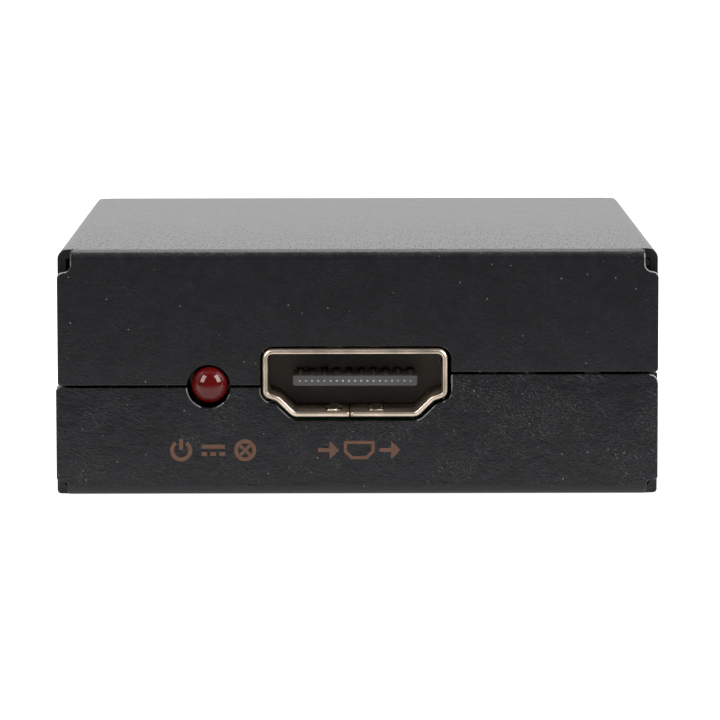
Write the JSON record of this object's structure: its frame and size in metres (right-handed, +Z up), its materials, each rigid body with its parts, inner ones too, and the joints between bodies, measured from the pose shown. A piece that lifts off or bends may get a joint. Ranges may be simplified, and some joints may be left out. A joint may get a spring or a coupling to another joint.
{
  "type": "hdmi edid emulator",
  "caption": "Small black folded-steel box that stores a display identity, with a digital video receptacle at each end, a red power lamp and a sliding mode switch.",
  "frame": {"origin": "centre of the underside, midway between the tray's side walls and between the front and rear panels", "axes": "+X to the right seen from the front, +Y from the front panel to the rear panel, +Z up"},
  "size_m": [0.049, 0.0573, 0.02],
  "materials": {
    "coated_steel": "fine wrinkled black powder coat",
    "plated_shell": "pale gold flash over nickel, stamped",
    "plated_contacts": "gold flash",
    "port_moulding": "glass-filled moulding, matt",
    "red_lens": "clear red cast resin",
    "tinned_leads": "bright tin",
    "screw_steel": "black nickel on the cover's screws",
    "zinc_steel": "bright zinc on standoffs and board screws",
    "board_laminate": "green solder mask over copper tracks",
    "chip_moulding": "matt black moulding compound",
    "switch_blue": "moulded blue, satin",
    "switch_black": "moulded black, satin",
    "lever_white": "moulded white, satin",
    "crystal_ceramic": "fired ceramic",
    "lid_steel": "brushed nickel",
    "can_aluminium": "bright rolled can",
    "resistor_black": "glazed black",
    "capacitor_tan": "fired tan ceramic"
  },
  "bodies": {
    "housing": {"top_cover": "coated_steel", "bottom_tray": "coated_steel", "cover_screws": "screw_steel", "board_standoffs": "zinc_steel", "board_screws": "zinc_steel", "circuit_board": "board_laminate", "front_port_shell": "plated_shell", "front_port_insulator": "port_moulding", "front_port_contacts": "plated_contacts", "rear_port_shell": "plated_shell", "rear_port_insulator": "port_moulding", "rear_port_contacts": "plated_contacts", "power_led_lens": "red_lens", "power_led_leads": "tinned_leads", "mode_switch_cover": "switch_blue", "mode_switch_base": "switch_black", "mode_switch_pins": "tinned_leads", "controller_chip": "chip_moulding", "controller_pins": "tinned_leads", "memory_chips": "chip_moulding", "memory_pins": "tinned_leads", "surge_arrays": "chip_moulding", "surge_array_pins": "tinned_leads", "regulator_body": "chip_moulding", "regulator_pins": "tinned_leads", "signal_transistors": "chip_moulding", "transistor_pins": "tinned_leads", "crystal_base": "crystal_ceramic", "crystal_lid": "lid_steel", "capacitor_can": "can_aluminium", "capacitor_base": "chip_moulding", "capacitor_leads": "tinned_leads", "chip_resistors": "resistor_black", "chip_capacitors": "capacitor_tan", "chip_end_caps": "tinned_leads"},
    "lever_1": {"mode_lever_1": "lever_white"},
    "lever_2": {"mode_lever_2": "lever_white"},
    "lever_3": {"mode_lever_3": "lever_white"},
    "lever_4": {"mode_lever_4": "lever_white"}
  },
  "joints": [
    {"name": "lever_1_slide", "type": "slide", "parent": "housing", "child": "lever_1", "axis": [0, 0, 1], "range_m": [0, 0.0015]},
    {"name": "lever_2_slide", "type": "slide", "parent": "housing", "child": "lever_2", "axis": [0, 0, 1], "range_m": [0, 0.0015]},
    {"name": "lever_3_slide", "type": "slide", "parent": "housing", "child": "lever_3", "axis": [0, 0, 1], "range_m": [0, 0.0015]},
    {"name": "lever_4_slide", "type": "slide", "parent": "housing", "child": "lever_4", "axis": [0, 0, 1], "range_m": [0, 0.0015]}
  ]
}
